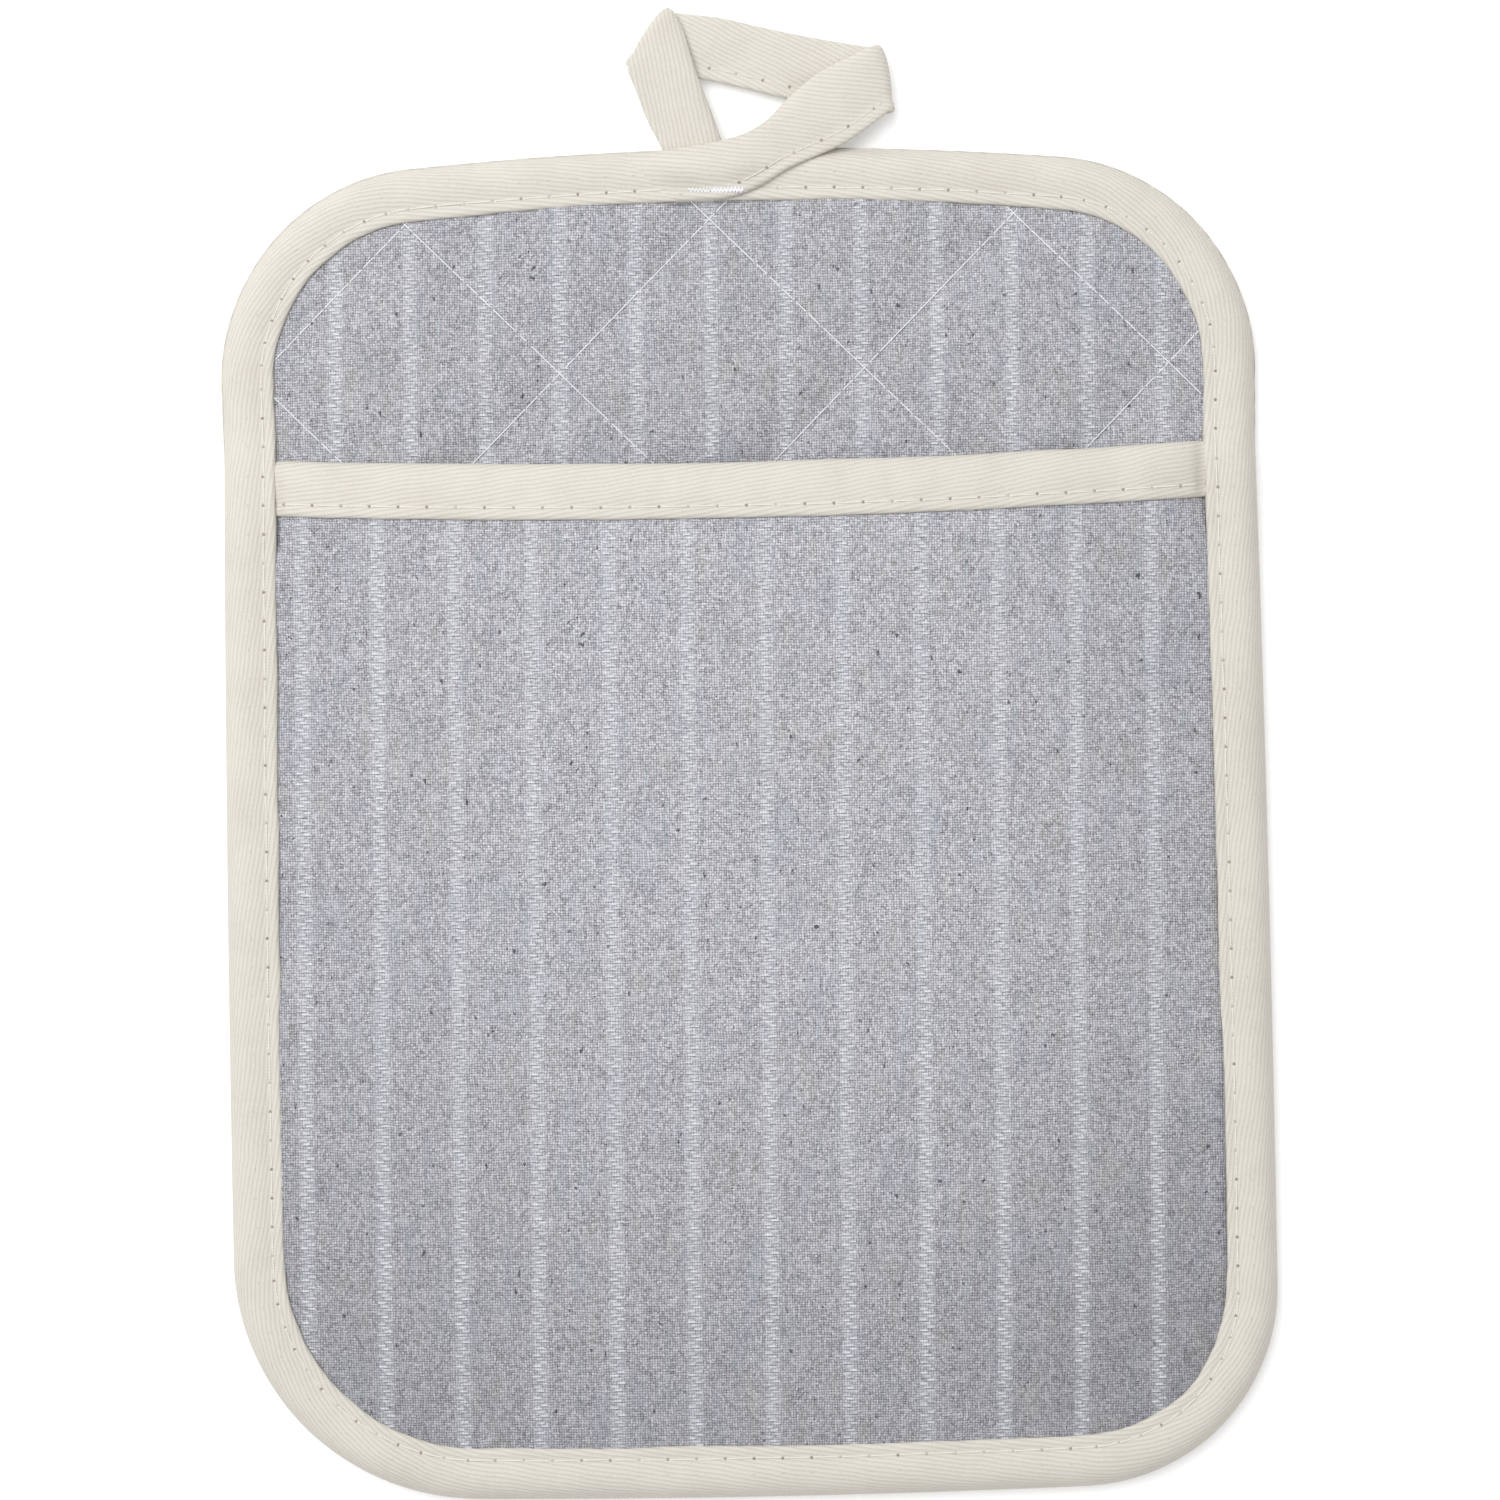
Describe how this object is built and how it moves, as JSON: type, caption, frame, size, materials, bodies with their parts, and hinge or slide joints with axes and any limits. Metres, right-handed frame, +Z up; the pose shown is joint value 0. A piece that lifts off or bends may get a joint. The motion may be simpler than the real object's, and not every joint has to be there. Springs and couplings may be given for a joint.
{
  "type": "pocket oven mitt",
  "caption": "Quilted rectangular oven mitt with a hand pocket, bound rim and mouth, and a hanging loop of the same tape.",
  "frame": {"origin": "middle of the pad's flat back face, on the surface it lies on", "axes": "+Z up, out of the pocket side; +Y along the pad towards the hanging loop; +X to the right seen from above"},
  "size_m": [0.1778, 0.2541, 0.0173],
  "materials": {
    "grey_cloth": "matt melange plain weave with pale stripes",
    "lining_cloth": "matt plain weave",
    "cream_tape": "matt cotton twill tape",
    "white_thread": "slightly lustrous sewing thread",
    "wadding": "soft cotton wadding"
  },
  "bodies": {
    "pad": {"back_panel": "grey_cloth", "wadding": "wadding", "front_panel": "grey_cloth", "pocket_seam_allowance": "grey_cloth", "edge_binding": "cream_tape", "edge_topstitch": "white_thread", "quilting_thread": "white_thread", "loop_root": "cream_tape", "loop_bartack": "white_thread"},
    "pocket": {"pocket_lining": "lining_cloth", "pocket_panel": "grey_cloth", "pocket_binding": "cream_tape", "pocket_topstitch": "white_thread"},
    "loop": {"hanging_loop": "cream_tape", "loop_topstitch": "white_thread"}
  },
  "joints": [
    {"name": "pocket_open", "type": "hinge", "parent": "pad", "child": "pocket", "pos_m": [0, -0.1027, 0.00587], "axis": [1, 0, 0], "range_deg": [0, 10]},
    {"name": "loop_flip", "type": "hinge", "parent": "pad", "child": "loop", "pos_m": [0, 0.1184, 0.0075], "axis": [1, 0, 0], "range_deg": [0, 120]}
  ]
}
